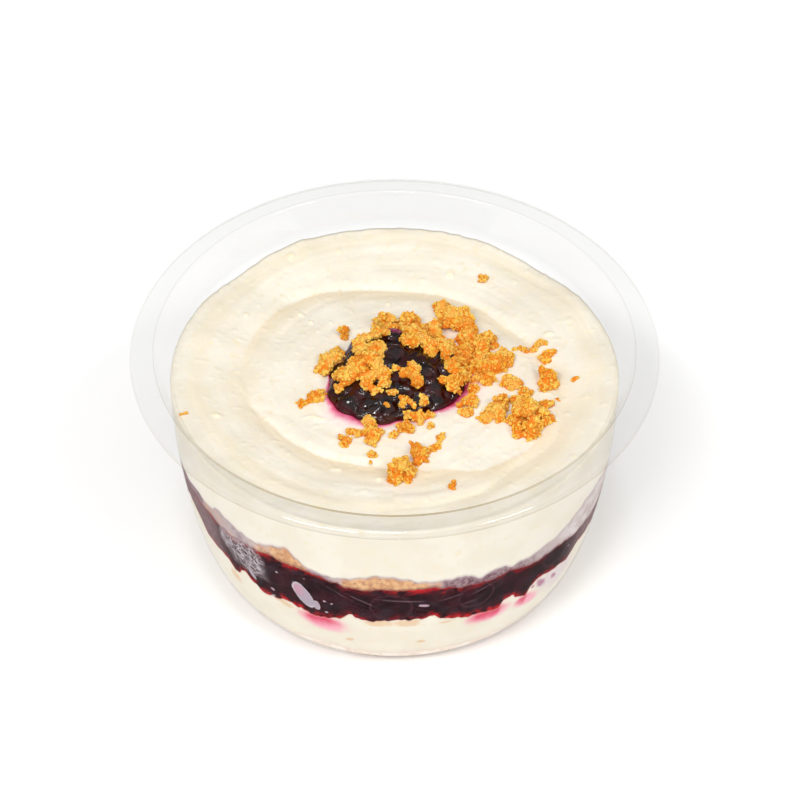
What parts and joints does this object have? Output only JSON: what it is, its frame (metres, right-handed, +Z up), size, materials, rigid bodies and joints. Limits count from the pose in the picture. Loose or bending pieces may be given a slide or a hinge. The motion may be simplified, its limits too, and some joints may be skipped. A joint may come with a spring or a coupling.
{
  "type": "layered cheesecake in a clear dessert bowl",
  "caption": "Layered cheesecake in a clear round plastic dessert bowl: crumb base, cream, dark fruit compote, swirled cream top with compote and baked crumbs.",
  "frame": {"origin": "centre of the bowl's flat foot, on the surface it stands on", "axes": "+Z up along the bowl's axis, -Y towards the front, +X to the right of the front"},
  "size_m": [0.118, 0.118, 0.06],
  "materials": {
    "clear_plastic": "clear thin formed plastic, glossy",
    "cream": "soft whipped cream cheese, satin, pale ivory",
    "compote": "wet dark berry compote, near-black purple with red thin edges",
    "baked_crumb": "dry golden baked crumbs, rough"
  },
  "bodies": {
    "root": {"bowl": "clear_plastic", "crumb_base": "baked_crumb", "lower_cream": "cream", "compote_layer": "compote", "crumb_layer": "baked_crumb", "upper_cream": "cream", "compote_dollop": "compote", "crumb_heap": "baked_crumb", "crumb_spill": "baked_crumb", "crumb_arm": "baked_crumb", "crumb_clump_right": "baked_crumb", "crumb_clump_front": "baked_crumb", "crumb_clump_side": "baked_crumb"}
  },
  "joints": []
}
